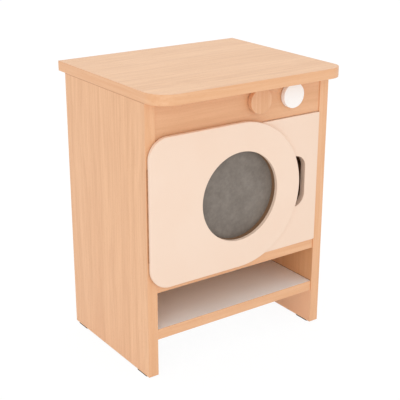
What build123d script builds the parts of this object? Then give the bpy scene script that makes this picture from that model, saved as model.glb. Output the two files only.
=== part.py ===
"""Toy washing machine: a beech-look play cabinet with a round-windowed door, two knobs and an open shelf.

Lengths are in millimetres. +X points to the right, +Y to the back and +Z up. The origin lies on
the floor, under the middle of the top board. "Left" and "right" are as seen from the front.
"""

import os
from math import cos, radians, sin

from build123d import *

# ---------------------------------------------------------------- driving dimensions

# Boards of the carcass
carcass_width = 402.0  # over both side panels
carcass_depth = 276.0  # side panels, front to back
panel_height = 509.0  # side panels, without their glides
side_thickness = 20.0
top_thickness = 19.0
shelf_thickness = 20.0
control_panel_thickness = 19.0
control_panel_height = 70.0
back_thickness = 4.0
back_rabbet = 9.0  # how far the back panel reaches over each side panel
leg_gap = 70.2  # free height under the bottom shelf
niche_height = 72.0  # free height of the open shelf
front_recess = 2.0  # shelves and control panel, behind the side panels' front edges
front_overhang = 42.5  # top, in front of the side panels
rear_overhang = 23.5  # top, behind the side panels
side_overhang = 1.0  # top, past each side panel
top_corner_left = 42.0
top_corner_right = 30.0

# Edge bands
top_band = 2.0
front_band = 1.0
top_band_rounding = 1.3
front_band_rounding = 0.5

# Door: a plate set between the side panels, and a second plate on its front
door_gap = 0.7  # round the door plate
door_thickness = 12.0
door_rounding = 0.6
door_corner = 2.5  # of the door plate, seen from the front
front_plate_thickness = 7.0
front_plate_overlap = 9.6  # over the control panel and over the shelf, up and down
front_plate_inset = 2.8  # its left edge, from the left side panel's outer face
front_plate_corner = 37.5
front_plate_rounding = 1.4
window_radius = 83.8
window_rounding = 1.0
slot_width = 48.0  # its left half lies behind the front plate
slot_length = 100.0
slot_margin = 30.1  # from the finger slot to the door plate's right edge
window_from_slot = 24.7  # from the window's rim to the finger slot

# Window pane, set into the back of the door plate
pane_thickness = 3.0
pane_rim = 10.0  # how far the pane reaches past the window
pane_clearance = 0.3
clip_length = 26.0
clip_width = 12.0
clip_thickness = 2.5
clip_corner = 5.5
clip_hold = 7.0  # how far a clip reaches over the pane
clip_screw_bite = 8.0  # in the door plate

# Long hinge between the left side panel's front edge and the front plate
hinge_length = 170.0
knuckle_count = 17
knuckle_radius = 1.2
hinge_pin_radius = 0.6
leaf_thickness = 0.8
leaf_gap = 0.4  # between the closed leaves
leaf_width = 13.5  # from the hinge's axis
axis_overlap = 0.3  # hinge's axis, in from the front plate's left edge
hinge_screw_count = 6
hinge_screw_end = 16.0  # from the hinge's end to its first screw
edge_screw_length = 16.0  # into the side panel's edge
plate_hinge_screw_length = 5.3  # into the front plate
leaf_corner = 2.2
knuckle_clearance = 0.3

# Magnetic catch on the right side panel
catch_length = 46.0
catch_width = 16.0
catch_depth = 15.0
catch_from_top = 37.25  # its middle, under the door plate's top edge
catch_corner = 2.3
catch_well_depth = 10.5  # of the magnet and poles in the housing
catch_screw_margin = 5.3  # from the side panel to the seat of a screw's head
catch_screw_access = 3.1  # radius of the hole that a screw goes in by
pole_length = 26.0
pole_thickness = 1.2
pole_stand_out = 0.8
magnet_width = 6.0
strike_length = 40.0
strike_width = 10.0
strike_thickness = 1.5
strike_corner = 2.0
strike_screw_bite = 8.5  # in the door plate
catch_air = 0.3  # between the strike plate and the poles

# Knobs
knob_radius = 23.3
knob_thickness = 9.5
knob_rounding = 1.0
knob_back_rounding = 0.6
knob_spacing = 75.1
knob_from_right = 89.9  # right knob's axis, from the right side panel's outer face
knob_below_top = 28.6  # knob axes, under the top board's underside
knob_bolt_radius = 3.0
knob_bolt_head_radius = 5.5
knob_bolt_head_height = 4.0
knob_bolt_head_rounding = 1.3
knob_bolt_socket_radius = 2.4  # over the corners of its hexagon
knob_bolt_socket_depth = 2.4
knob_washer_radius = 8.0
knob_washer_thickness = 1.2
insert_radius = 4.5
insert_length = 6.5
bush_radius = 5.0
bush_flange_radius = 8.0
bush_flange_thickness = 1.0
knob_air = 0.4  # between what turns and what stands still, along the axis

# Knock-down joints
cam_radius = 7.5
cam_below_axis = 4.0  # how deep the cam reaches past the bolt's axis
cam_setback = 24.0  # cam's axis, from the joint
cam_bolt_radius = 3.0
cam_bolt_head_radius = 3.6
cam_bolt_head_length = 3.0
cam_mouth_clearance = 0.3  # round the bolt's head
cam_slot_length = 9.0
cam_slot_width = 1.4
cam_slot_depth = 1.2
cam_bolt_bore = 4.0
cam_bolt_bite = 11.0  # length in the other board
cam_from_edge = 48.0  # from a board's front and back edges
dowel_radius = 4.0
dowel_bite = 12.0
dowel_reach = 18.0
dowel_from_cam = 32.0
control_dowel_spacing = 44.0

# Screws, pads and fits
screw_radius = 1.75
screw_length = 16.0
screw_head_radius = 3.5
screw_head_height = 2.0
small_screw_radius = 1.3
small_screw_head_radius = 2.3
small_screw_head_height = 1.1
plate_screw_count = 6
plate_screw_bite = 4.5
glide_length = 34.0
glide_height = 2.0
glide_from_edge = 9.0
glide_corner = 3.0
nail_radius = 0.9
nail_length = 14.0
nail_head_radius = 2.0
nail_head_height = 0.8
nail_spacing = 18.0
fit = 0.05  # radial clearance of a close fit
hole_spare = 0.5  # extra depth of a blind hole
run_out = 1.0  # how far a cut reaches past the surface that it opens on

# ---------------------------------------------------------------- places worked out from them

x_left, x_right = -carcass_width / 2, carcass_width / 2
x_in_left, x_in_right = x_left + side_thickness, x_right - side_thickness

y_top_front = -(front_overhang + carcass_depth + rear_overhang) / 2
y_front = y_top_front + front_overhang
y_rear = y_front + carcass_depth
y_top_rear = y_rear + rear_overhang
y_shelf_front = y_front + front_recess
y_shelf_rear = y_rear - back_thickness
y_control_rear = y_shelf_front + control_panel_thickness

z_foot = glide_height
z_under_top = z_foot + panel_height
z_low_shelf = z_foot + leg_gap
z_niche = z_low_shelf + shelf_thickness
z_floor_shelf = z_niche + niche_height
z_opening = z_floor_shelf + shelf_thickness
z_control = z_under_top - control_panel_height

x_door_left, x_door_right = x_in_left + door_gap, x_in_right - door_gap
z_door_low, z_door_high = z_opening + door_gap, z_control - door_gap
z_middle = (z_door_low + z_door_high) / 2
hinge_gap = 2 * leaf_thickness + leaf_gap
y_plate_back = y_front - hinge_gap  # where the door's two plates meet
y_plate_front = y_plate_back - front_plate_thickness
y_door_back = y_plate_back + door_thickness
x_plate_left = x_left + front_plate_inset
x_slot = x_door_right - slot_margin - slot_width / 2
x_window = x_slot - slot_width / 2 - window_from_slot - window_radius
plate_radius = (z_door_high - z_door_low) / 2 + front_plate_overlap
pane_radius = window_radius + pane_rim

x_hinge = x_plate_left + axis_overlap
y_hinge = y_front - hinge_gap / 2
knuckle_pitch = hinge_length / knuckle_count
z_hinge_low = z_middle - hinge_length / 2

# Directions
right, left = Vector(1, 0, 0), Vector(-1, 0, 0)
back, front = Vector(0, 1, 0), Vector(0, -1, 0)
up, down = Vector(0, 0, 1), Vector(0, 0, -1)
on_base = (Align.CENTER, Align.CENTER, Align.MIN)

# ---------------------------------------------------------------- helpers


def block(x0, x1, y0, y1, z0, z1):
    """A box between three pairs of planes."""
    centre = Vector((x0 + x1) / 2, (y0 + y1) / 2, (z0 + z1) / 2)
    return Location(centre) * Box(x1 - x0, y1 - y0, z1 - z0)


def rod(start, direction, length, radius):
    """A cylinder that starts at a point and runs along a direction."""
    seat = Plane(origin=start, z_dir=direction)
    return seat * Cylinder(radius, length, align=on_base)


def cone(start, direction, length, radius, end_radius):
    """A straight cone frustum that starts at a point and runs along a direction."""
    seat = Plane(origin=start, z_dir=direction)
    return seat * Cone(radius, end_radius, length, align=on_base)


def pan_screw(seat, direction, length, radius=screw_radius, head=screw_head_radius):
    """A screw whose head lies on the surface at seat, and the hole for its shank."""
    start = seat - direction * screw_head_height
    cap = rod(start, direction, screw_head_height, head)
    rim = cap.edges().filter_by(GeomType.CIRCLE).sort_by_distance(start)[0]
    cap = fillet(rim, screw_head_height / 2)
    screw = cap + rod(seat, direction, length, radius)
    hole = rod(seat, direction, length + hole_spare, radius + fit)
    return screw, hole


def flat_screw(seat, direction, length, radius, head, height):
    """A countersunk screw that ends flush at seat, and its countersunk hole."""
    screw = cone(seat, direction, height, head, radius) + rod(seat, direction, length, radius)
    lip = seat - direction * fit
    hole = cone(lip, direction, height, head + 2 * fit, radius + 2 * fit)
    hole += rod(lip, direction, length + hole_spare, radius + fit)
    return screw, hole


def upright_plate(outline, y_back, thickness):
    """An outline drawn in X and Z, made a plate that runs forwards from y_back."""
    wall = Plane(origin=(0, y_back, 0), x_dir=(1, 0, 0), z_dir=(0, -1, 0))
    return extrude(wall * outline, thickness)


def front_edges(solid, y):
    """The edges that lie in the plane at y."""
    return solid.edges().filter_by_position(Axis.Y, y - 0.01, y + 0.01)


nodes = {}


def keep(name, *solids):
    """Files one or more solids as a node, as one group."""
    nodes[name] = Compound(children=[s for shape in solids for s in shape.solids()])


# ---------------------------------------------------------------- knock-down joints

# Holes to drill, collected for each board as the joints are placed
drilled = {name: [] for name in ("left", "right", "top", "floor", "low", "control")}
cam_housings, cam_bolts, dowels = [], [], []


def add_cam(end, into, face, half, cam_board, bolt_board):
    """A cam and its bolt: end is on the joint, into points into the cam's board of half thickness."""
    centre = end + into * cam_setback
    depth = half + cam_below_axis
    housing = rod(centre + face * half, -face, depth, cam_radius - fit)
    seat = Plane(origin=centre, x_dir=into, z_dir=face)
    mouth_width = 2 * (cam_bolt_head_radius + cam_mouth_clearance)
    mouth_low, mouth_high = -cam_below_axis, mouth_width / 2
    mouth = Box(cam_radius + cam_bolt_head_length, mouth_width, mouth_high - mouth_low)
    x_mouth = -(cam_radius - cam_bolt_head_length) / 2
    housing -= seat * Pos(x_mouth, 0, (mouth_high + mouth_low) / 2) * mouth
    for turn in (45, 135):
        cross = Rot(0, 0, turn) * Box(cam_slot_length, cam_slot_width, 2 * cam_slot_depth)
        housing -= seat * Pos(0, 0, half) * cross
    bolt = rod(end - into * cam_bolt_bite, into, cam_bolt_bite + cam_setback, cam_bolt_radius)
    bolt_head = centre - into * (cam_bolt_head_length / 2)
    bolt += rod(bolt_head, into, cam_bolt_head_length, cam_bolt_head_radius)
    cam_housings.append(housing)
    cam_bolts.append(bolt)
    bore_start = centre + face * (half + run_out)
    drilled[cam_board].append(rod(bore_start, -face, run_out + depth + hole_spare, cam_radius))
    drilled[cam_board].append(rod(end - into * run_out, into, cam_setback + run_out, cam_bolt_bore))
    start = end - into * (cam_bolt_bite + hole_spare)
    drilled[bolt_board].append(rod(start, into, cam_bolt_bite + hole_spare, cam_bolt_radius + fit))


def add_dowel(end, into, near_board, far_board):
    """A dowel across a joint: into points into near_board, where it reaches further."""
    dowels.append(rod(end - into * dowel_bite, into, dowel_bite + dowel_reach, dowel_radius))
    length = dowel_bite + dowel_reach + 2 * hole_spare
    hole = rod(end - into * (dowel_bite + hole_spare), into, length, dowel_radius + fit)
    drilled[near_board].append(hole)
    drilled[far_board].append(hole)


for side, x_joint, into in (("left", x_in_left, right), ("right", x_in_right, left)):
    for shelf, z_under in (("floor", z_floor_shelf), ("low", z_low_shelf)):
        z_mid = z_under + shelf_thickness / 2
        for y, inward in ((y_shelf_front + cam_from_edge, 1), (y_shelf_rear - cam_from_edge, -1)):
            add_cam(Vector(x_joint, y, z_mid), into, down, shelf_thickness / 2, shelf, side)
            add_dowel(Vector(x_joint, y + inward * dowel_from_cam, z_mid), into, shelf, side)
    y_mid = y_shelf_front + control_panel_thickness / 2
    z_mid = z_control + control_panel_height / 2
    add_cam(Vector(x_joint, y_mid, z_mid), into, back, control_panel_thickness / 2, "control", side)
    for z in (z_mid - control_dowel_spacing / 2, z_mid + control_dowel_spacing / 2):
        add_dowel(Vector(x_joint, y_mid, z), into, "control", side)
    x_mid = x_joint - into.X * side_thickness / 2
    for y, inward in ((y_control_rear + cam_from_edge, 1), (y_rear - cam_from_edge, -1)):
        add_cam(Vector(x_mid, y, z_under_top), down, into, side_thickness / 2, side, "top")
        add_dowel(Vector(x_mid, y + inward * dowel_from_cam, z_under_top), down, side, "top")


def drill(board, name):
    """Cuts the joints' holes that were collected for a board."""
    return board - drilled[name]


# ---------------------------------------------------------------- knob holes and places

knob_z = z_under_top - knob_below_top
knob_right_x = x_right - knob_from_right
knob_places = {"beech": knob_right_x - knob_spacing, "white": knob_right_x}

# ---------------------------------------------------------------- carcass


def top_outline(inset):
    """The top's outline seen from above, inset all round: two rounded corners at the front."""
    width = carcass_width + 2 * side_overhang - 2 * inset
    depth = y_top_rear - y_top_front - 2 * inset
    sheet = Pos(0, (y_top_rear + y_top_front) / 2) * Rectangle(width, depth)
    front_left, front_right = sheet.vertices().group_by(Axis.Y)[0].sort_by(Axis.X)
    sheet = fillet(front_left, top_corner_left - inset)
    front_right = sheet.vertices().sort_by_distance(front_right)[0]
    return fillet(front_right, top_corner_right - inset)


def make_top():
    board = Pos(0, 0, z_under_top) * extrude(top_outline(top_band), top_thickness)
    ring = top_outline(0) - top_outline(top_band)
    band = Pos(0, 0, z_under_top) * extrude(ring, top_thickness)
    for face in (band.faces().sort_by(Axis.Z)[-1], band.faces().sort_by(Axis.Z)[0]):
        band = fillet(face.outer_wire().edges(), top_band_rounding)
    keep("top_board", drill(board, "top"))
    keep("top_edge_band", band)


def front_strip(x0, x1, y0, z0, z1):
    """A band on a board's front edge, with its front corners eased."""
    strip = block(x0, x1, y0, y0 + front_band, z0, z1)
    return fillet(front_edges(strip, y0), front_band_rounding)


def make_side_panels():
    hinge_depth = knuckle_radius - hinge_gap / 2 + knuckle_clearance
    groove = block(
        x_hinge - knuckle_radius - knuckle_clearance,
        x_hinge + knuckle_radius + knuckle_clearance,
        y_front - hinge_depth,
        y_front + hinge_depth,
        z_hinge_low - knuckle_clearance,
        z_hinge_low + hinge_length + knuckle_clearance,
    )
    for name, x0, x_inner in (("left", x_left, x_in_left), ("right", x_in_right, x_in_right)):
        board = block(x0, x0 + side_thickness, y_front + front_band, y_rear, z_foot, z_under_top)
        board -= block(
            x_inner - back_rabbet,
            x_inner + back_rabbet,
            y_shelf_rear,
            y_rear,
            z_low_shelf,
            z_under_top,
        )
        strip = front_strip(x0, x0 + side_thickness, y_front, z_foot, z_under_top)
        board = drill(board, name) - nail_holes - back_screw_holes
        if name == "left":
            board = board - groove - fixed_hinge_holes
            strip = strip - groove - fixed_hinge_holes
        else:
            board -= catch_screw_holes
        keep(f"side_panel_{name}", board)
        keep(f"side_edge_band_{name}", strip)


def make_shelves():
    for name, key, z in (
        ("compartment_floor", "floor", z_floor_shelf),
        ("bottom_shelf", "low", z_low_shelf),
    ):
        y_board, z_high = y_shelf_front + front_band, z + shelf_thickness
        board = block(x_in_left, x_in_right, y_board, y_shelf_rear, z, z_high)
        keep(name, drill(board, key) - back_screw_holes)
        keep(f"{name}_edge_band", front_strip(x_in_left, x_in_right, y_shelf_front, z, z_high))


def make_control_panel():
    z_board = z_control + front_band
    board = block(x_in_left, x_in_right, y_shelf_front, y_control_rear, z_board, z_under_top)
    for x in knob_places.values():
        hole = Vector(x, y_shelf_front, knob_z)
        board -= rod(hole, back, control_panel_thickness, bush_radius + fit)
    keep("control_panel", drill(board, "control"))
    band = block(x_in_left, x_in_right, y_shelf_front, y_control_rear, z_control, z_board)
    under = band.edges().group_by(Axis.Z)[0].filter_by(Axis.X)
    keep("control_panel_edge_band", fillet(under, front_band_rounding))


def make_back():
    x_low, x_high = x_in_left - back_rabbet, x_in_right + back_rabbet
    panel = block(x_low, x_high, y_shelf_rear, y_rear, z_low_shelf, z_under_top)
    keep("back_panel", panel - back_screw_holes)
    keep("back_panel_screws", *back_screws)


# Screws of the back panel: up both sides and along both shelves
back_screws, back_screw_holes = [], []
x_back_screw = x_in_right + back_rabbet / 2
z_back_low = z_low_shelf + shelf_thickness / 2
z_back_floor = z_floor_shelf + shelf_thickness / 2
z_back_high = z_under_top - shelf_thickness
back_screw_places = [
    (x, z)
    for x in (-x_back_screw, x_back_screw)
    for z in (z_niche + niche_height / 2, (z_back_floor + z_back_high) / 2, z_back_high)
]
back_screw_places += [
    (x, z) for x in (-x_in_right / 2, x_in_right / 2) for z in (z_back_low, z_back_floor)
]
for x, z in back_screw_places:
    screw, hole = pan_screw(Vector(x, y_rear, z), front, screw_length)
    back_screws.append(screw)
    back_screw_holes.append(hole)

# Glides under the side panels, each with two nails
glides, nails, nail_holes = [], [], []
glide_centre = glide_from_edge + glide_length / 2  # from the side panel's front or back edge
for x in (x_left + side_thickness / 2, x_right - side_thickness / 2):
    for y in (y_front + glide_centre, y_rear - glide_centre):
        pad = block(
            x - side_thickness / 2,
            x + side_thickness / 2,
            y - glide_length / 2,
            y + glide_length / 2,
            0,
            glide_height,
        )
        pad = fillet(pad.edges().filter_by(Axis.Z), glide_corner)
        for offset in (-nail_spacing / 2, nail_spacing / 2):
            head = Vector(x, y + offset, glide_height - nail_head_height)
            nail = rod(head, up, nail_head_height, nail_head_radius)
            nail += rod(head, up, nail_length, nail_radius)
            well = rod(Vector(x, y + offset, 0), up, glide_height, nail_head_radius + fit)
            nails.append(nail)
            nail_holes.append(rod(head, up, nail_length + hole_spare, nail_radius + fit))
            pad -= well
        glides.append(pad)

# ---------------------------------------------------------------- hinge

# Screws of both leaves, at the same heights
y_fixed_leaf, y_door_leaf = y_hinge + leaf_gap / 2, y_hinge - leaf_gap / 2
hinge_screw_step = (hinge_length - 2 * hinge_screw_end) / (hinge_screw_count - 1)
x_leaf_screw = x_hinge + (knuckle_radius + knuckle_clearance + leaf_width) / 2
fixed_hinge_screws, fixed_hinge_holes = [], []
door_hinge_screws, door_hinge_holes = [], []
for i in range(hinge_screw_count):
    z = z_hinge_low + hinge_screw_end + i * hinge_screw_step
    for y, direction, length, screws, holes in (
        (y_fixed_leaf, back, edge_screw_length, fixed_hinge_screws, fixed_hinge_holes),
        (y_door_leaf, front, plate_hinge_screw_length, door_hinge_screws, door_hinge_holes),
    ):
        screw, hole = flat_screw(
            Vector(x_leaf_screw, y, z),
            direction,
            length,
            small_screw_radius,
            small_screw_head_radius,
            small_screw_head_height,
        )
        screws.append(screw)
        holes.append(hole)


def make_leaf(y_inner, direction, own_knuckles, holes):
    """A hinge leaf with its share of the knuckles; y_inner is its face towards the other leaf."""
    y_outer = y_inner + direction * leaf_thickness
    y_low, y_high = min(y_inner, y_outer), max(y_inner, y_outer)
    z_high = z_hinge_low + hinge_length
    leaf = block(x_hinge, x_hinge + leaf_width, y_low, y_high, z_hinge_low, z_high)
    x_root = x_hinge + knuckle_radius + knuckle_clearance
    for i in range(knuckle_count):
        z0 = z_hinge_low + i * knuckle_pitch
        if i in own_knuckles:
            start = Vector(x_hinge, y_hinge, z0 + knuckle_clearance / 2)
            leaf += rod(start, up, knuckle_pitch - knuckle_clearance, knuckle_radius)
        else:
            leaf -= block(
                x_hinge - run_out,
                x_root,
                y_low - run_out,
                y_high + run_out,
                z0 - knuckle_clearance / 2,
                z0 + knuckle_pitch + knuckle_clearance / 2,
            )
    bore = rod(Vector(x_hinge, y_hinge, z_hinge_low), up, hinge_length, hinge_pin_radius + fit)
    far = leaf.edges().filter_by(Axis.Y).group_by(Axis.X)[-1]
    return fillet(far, leaf_corner) - bore - holes


def make_hinge():
    fixed_knuckles = range(0, knuckle_count, 2)
    door_knuckles = range(1, knuckle_count, 2)
    keep("hinge_leaf_fixed", make_leaf(y_fixed_leaf, 1, fixed_knuckles, fixed_hinge_holes))
    keep("hinge_leaf_door", make_leaf(y_door_leaf, -1, door_knuckles, door_hinge_holes))
    keep("hinge_pin", rod(Vector(x_hinge, y_hinge, z_hinge_low), up, hinge_length, hinge_pin_radius))
    keep("hinge_screws_fixed", *fixed_hinge_screws)
    keep("hinge_screws_door", *door_hinge_screws)


# ---------------------------------------------------------------- magnetic catch

z_catch = z_door_high - catch_from_top
y_strike = y_door_back + strike_thickness
y_pole = y_strike + catch_air
y_catch = y_pole + pole_stand_out
x_catch_mid = x_in_right - catch_width / 2
catch_screw_spread = (catch_length + pole_length) / 4  # from the catch's middle
catch_screws, catch_screw_holes = [], []
for z in (z_catch - catch_screw_spread, z_catch + catch_screw_spread):
    head_seat = Vector(x_in_right - catch_screw_margin, y_catch + catch_depth / 2, z)
    screw, hole = pan_screw(head_seat, right, screw_length, small_screw_radius, 2 * small_screw_radius)
    catch_screws.append(screw)
    catch_screw_holes.append(hole)
strike_screw, strike_hole = flat_screw(
    Vector(x_catch_mid, y_strike, z_catch),
    front,
    strike_thickness + strike_screw_bite,
    small_screw_radius,
    small_screw_head_radius,
    small_screw_head_height,
)


def make_catch():
    housing = block(
        x_in_right - catch_width,
        x_in_right,
        y_catch,
        y_catch + catch_depth,
        z_catch - catch_length / 2,
        z_catch + catch_length / 2,
    )
    housing = fillet(housing.edges().filter_by(Axis.X), catch_corner)
    pack_width = magnet_width + 2 * pole_thickness
    housing -= block(
        x_catch_mid - pack_width / 2 - fit,
        x_catch_mid + pack_width / 2 + fit,
        y_catch,
        y_catch + catch_well_depth,
        z_catch - pole_length / 2 - fit,
        z_catch + pole_length / 2 + fit,
    )
    for z in (z_catch - catch_screw_spread, z_catch + catch_screw_spread):
        seat = Vector(x_in_right - catch_screw_margin, y_catch + catch_depth / 2, z)
        housing -= rod(seat, left, catch_width, catch_screw_access)
    keep("catch_housing", housing - catch_screw_holes)
    keep("catch_screws", *catch_screws)
    poles = [
        block(
            x - pole_thickness / 2,
            x + pole_thickness / 2,
            y_pole,
            y_catch + catch_well_depth,
            z_catch - pole_length / 2,
            z_catch + pole_length / 2,
        )
        for x in (
            x_catch_mid - (magnet_width + pole_thickness) / 2,
            x_catch_mid + (magnet_width + pole_thickness) / 2,
        )
    ]
    keep("catch_poles", *poles)
    keep(
        "catch_magnet",
        block(
            x_catch_mid - magnet_width / 2,
            x_catch_mid + magnet_width / 2,
            y_catch,
            y_catch + catch_well_depth,
            z_catch - pole_length / 2,
            z_catch + pole_length / 2,
        ),
    )
    strike = block(
        x_catch_mid - strike_width / 2,
        x_catch_mid + strike_width / 2,
        y_door_back,
        y_strike,
        z_catch - strike_length / 2,
        z_catch + strike_length / 2,
    )
    strike = fillet(strike.edges().filter_by(Axis.Y), strike_corner)
    keep("strike_plate", strike - strike_hole)
    keep("strike_screw", strike_screw)


# ---------------------------------------------------------------- door


def on_circle(radius, angle):
    """A point at an angle round the window's centre, as X and Z."""
    return x_window + radius * cos(radians(angle)), z_middle + radius * sin(radians(angle))


# Screws of the front plate, on a circle midway between the pane and the door plate's edge
plate_screw_step = 360 / plate_screw_count
plate_screw_circle = (pane_radius + (z_door_high - z_door_low) / 2) / 2
plate_screws, plate_screw_holes = [], []
for i in range(plate_screw_count):
    x, z = on_circle(plate_screw_circle, (i + 0.5) * plate_screw_step)
    screw, hole = flat_screw(
        Vector(x, y_door_back, z),
        front,
        door_thickness + plate_screw_bite,
        screw_radius,
        screw_head_radius,
        screw_head_height,
    )
    plate_screws.append(screw)
    plate_screw_holes.append(hole)

clips, clip_screws, clip_holes = [], [], []
for angle in (45, 135, 225, 315):
    x, z = on_circle(pane_radius - clip_hold + clip_length / 2, angle)
    outwards = (cos(radians(angle)), 0, sin(radians(angle)))
    turned = Plane(origin=(x, y_door_back, z), x_dir=outwards, z_dir=back)
    clip = extrude(turned * RectangleRounded(clip_length, clip_width, clip_corner), clip_thickness)
    x, z = on_circle(pane_radius + (clip_length - clip_hold) / 2, angle)
    seat = Vector(x, y_door_back + clip_thickness, z)
    screw, hole = pan_screw(seat, front, clip_thickness + clip_screw_bite, small_screw_radius)
    clips.append(clip - hole)
    clip_screws.append(screw)
    clip_holes.append(hole)


def is_window_rim(edge):
    """Whether an edge lies on the window's circle."""
    return edge.geom_type == GeomType.CIRCLE and abs(edge.radius - window_radius) < 0.01


def make_door_plate():
    width, height = x_door_right - x_door_left, z_door_high - z_door_low
    centre = Pos((x_door_left + x_door_right) / 2, z_middle)
    outline = centre * RectangleRounded(width, height, door_corner)
    outline -= Pos(x_window, z_middle) * Circle(window_radius)
    outline -= Pos(x_slot, z_middle) * SlotOverall(slot_length, slot_width, rotation=90)
    plate = upright_plate(outline, y_door_back, door_thickness)
    outer = [e for e in front_edges(plate, y_plate_back) if not is_window_rim(e)]
    plate = fillet(outer, door_rounding)
    rebate = Vector(x_window, y_door_back, z_middle)
    plate -= rod(rebate, front, pane_thickness, pane_radius + pane_clearance)
    keep("door_plate", plate - plate_screw_holes - clip_holes - strike_hole)


def make_front_plate():
    width, height = x_window - x_plate_left, 2 * plate_radius
    panel = Pos((x_window + x_plate_left) / 2, z_middle) * Rectangle(width, height)
    panel = fillet(panel.vertices().group_by(Axis.X)[0], front_plate_corner)
    outline = panel + Pos(x_window, z_middle) * Circle(plate_radius)
    outline -= Pos(x_window, z_middle) * Circle(window_radius)
    plate = upright_plate(outline, y_plate_back, front_plate_thickness)
    outer = [e for e in front_edges(plate, y_plate_front) if not is_window_rim(e)]
    plate = fillet(outer, front_plate_rounding)
    rim = [e for e in front_edges(plate, y_plate_front) if is_window_rim(e)]
    plate = fillet(rim, window_rounding)
    knuckle_depth = knuckle_radius - hinge_gap / 2 + knuckle_clearance
    plate -= block(
        x_plate_left - run_out,
        x_hinge + knuckle_radius + knuckle_clearance,
        y_plate_back - knuckle_depth,
        y_plate_back,
        z_hinge_low - knuckle_clearance,
        z_hinge_low + hinge_length + knuckle_clearance,
    )
    keep("door_front_plate", plate - plate_screw_holes - door_hinge_holes)


def make_pane():
    seat = Vector(x_window, y_door_back, z_middle)
    pane = rod(seat, front, pane_thickness, pane_radius)
    keep("window_pane", pane)
    keep("pane_clips", *clips)
    keep("pane_clip_screws", *clip_screws)
    keep("front_plate_screws", *plate_screws)


# ---------------------------------------------------------------- knobs


def make_knobs():
    y_back_of_knob = y_shelf_front - bush_flange_thickness - knob_air
    y_front_of_knob = y_back_of_knob - knob_thickness
    y_washer = y_control_rear + knob_air
    y_head = y_washer + knob_washer_thickness
    bushes = []
    for name, x in knob_places.items():
        disc = rod(Vector(x, y_back_of_knob, knob_z), front, knob_thickness, knob_radius)
        disc = fillet(front_edges(disc, y_front_of_knob), knob_rounding)
        disc = fillet(front_edges(disc, y_back_of_knob), knob_back_rounding)
        disc -= rod(Vector(x, y_back_of_knob, knob_z), front, insert_length, insert_radius)
        keep(f"knob_{name}", disc)

        insert = rod(Vector(x, y_back_of_knob, knob_z), front, insert_length, insert_radius - fit)
        insert -= rod(Vector(x, y_back_of_knob, knob_z), front, insert_length, knob_bolt_radius + fit)
        keep(f"knob_{name}_insert", insert)

        shank_length = y_head - y_back_of_knob + insert_length - hole_spare
        bolt = rod(Vector(x, y_head, knob_z), front, shank_length, knob_bolt_radius)
        head = rod(Vector(x, y_head, knob_z), back, knob_bolt_head_height, knob_bolt_head_radius)
        y_head_end = y_head + knob_bolt_head_height
        head = fillet(front_edges(head, y_head_end), knob_bolt_head_rounding)
        socket = Plane(origin=(x, y_head_end, knob_z), z_dir=front)
        hexagon = RegularPolygon(knob_bolt_socket_radius, 6)
        head -= extrude(socket * hexagon, knob_bolt_socket_depth)
        keep(f"knob_{name}_bolt", bolt + head)

        washer = rod(Vector(x, y_washer, knob_z), back, knob_washer_thickness, knob_washer_radius)
        washer -= rod(Vector(x, y_washer, knob_z), back, knob_washer_thickness, knob_bolt_radius + fit)
        keep(f"knob_{name}_washer", washer)

        bush = rod(Vector(x, y_control_rear, knob_z), front, control_panel_thickness, bush_radius)
        bush += rod(Vector(x, y_shelf_front, knob_z), front, bush_flange_thickness, bush_flange_radius)
        flange_front = Vector(x, y_shelf_front - bush_flange_thickness, knob_z)
        bush_length = control_panel_thickness + bush_flange_thickness
        bush -= rod(flange_front, back, bush_length, knob_bolt_radius + fit)
        bushes.append(bush)
    keep("knob_bushes", *bushes)


# ---------------------------------------------------------------- build and write

make_top()
make_side_panels()
make_shelves()
make_control_panel()
make_back()
keep("dowels", *dowels)
keep("cam_housings", *cam_housings)
keep("cam_bolts", *cam_bolts)
keep("glides", *glides)
keep("glide_nails", *nails)
make_hinge()
make_catch()
make_door_plate()
make_front_plate()
make_pane()
make_knobs()

os.makedirs("parts", exist_ok=True)
for name, shape in nodes.items():
    export_step(shape, f"parts/{name}.step")
    print(name, len(shape.solids()), round(shape.volume))
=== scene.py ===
# %% [markdown]
# # A toy washing machine in beech board
#
# The frame holds every board, screw and hinge of this play cabinet at its real size. This lesson
# dresses it: wood-look boards with their grain running the right way, cream lacquer on the door,
# a smoky window, and a few small pieces whose shape matters up close. The real object is flat-pack
# furniture, so almost all of its character lies in how each board was cut, banded and finished.

from math import atan2, cos, pi, radians, sin

import bmesh
import bpy
from mathutils import Matrix, Vector


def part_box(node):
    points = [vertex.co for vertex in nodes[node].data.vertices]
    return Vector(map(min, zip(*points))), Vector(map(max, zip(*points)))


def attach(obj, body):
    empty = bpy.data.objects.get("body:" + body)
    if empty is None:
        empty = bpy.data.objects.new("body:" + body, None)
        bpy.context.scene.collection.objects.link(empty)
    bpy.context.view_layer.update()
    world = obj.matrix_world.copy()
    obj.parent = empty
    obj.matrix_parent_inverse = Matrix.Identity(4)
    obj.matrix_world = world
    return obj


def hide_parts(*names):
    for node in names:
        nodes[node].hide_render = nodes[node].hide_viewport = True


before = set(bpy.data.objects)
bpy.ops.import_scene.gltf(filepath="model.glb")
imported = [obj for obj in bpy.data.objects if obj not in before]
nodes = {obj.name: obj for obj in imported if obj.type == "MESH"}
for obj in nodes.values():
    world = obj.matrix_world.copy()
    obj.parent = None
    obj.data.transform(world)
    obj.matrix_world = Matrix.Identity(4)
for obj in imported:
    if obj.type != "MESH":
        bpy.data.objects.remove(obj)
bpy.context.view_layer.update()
print("nodes in the frame:", len(nodes))

# %% [markdown]
# ## The camera
#
# The photograph was taken from the left and a little above. Its vanishing lines give the lens and
# the angles, and the length of the side panels gives the distance. A camera in Blender looks
# down its own -Z axis, so its matrix is built from three directions: right, up and backwards.

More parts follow.
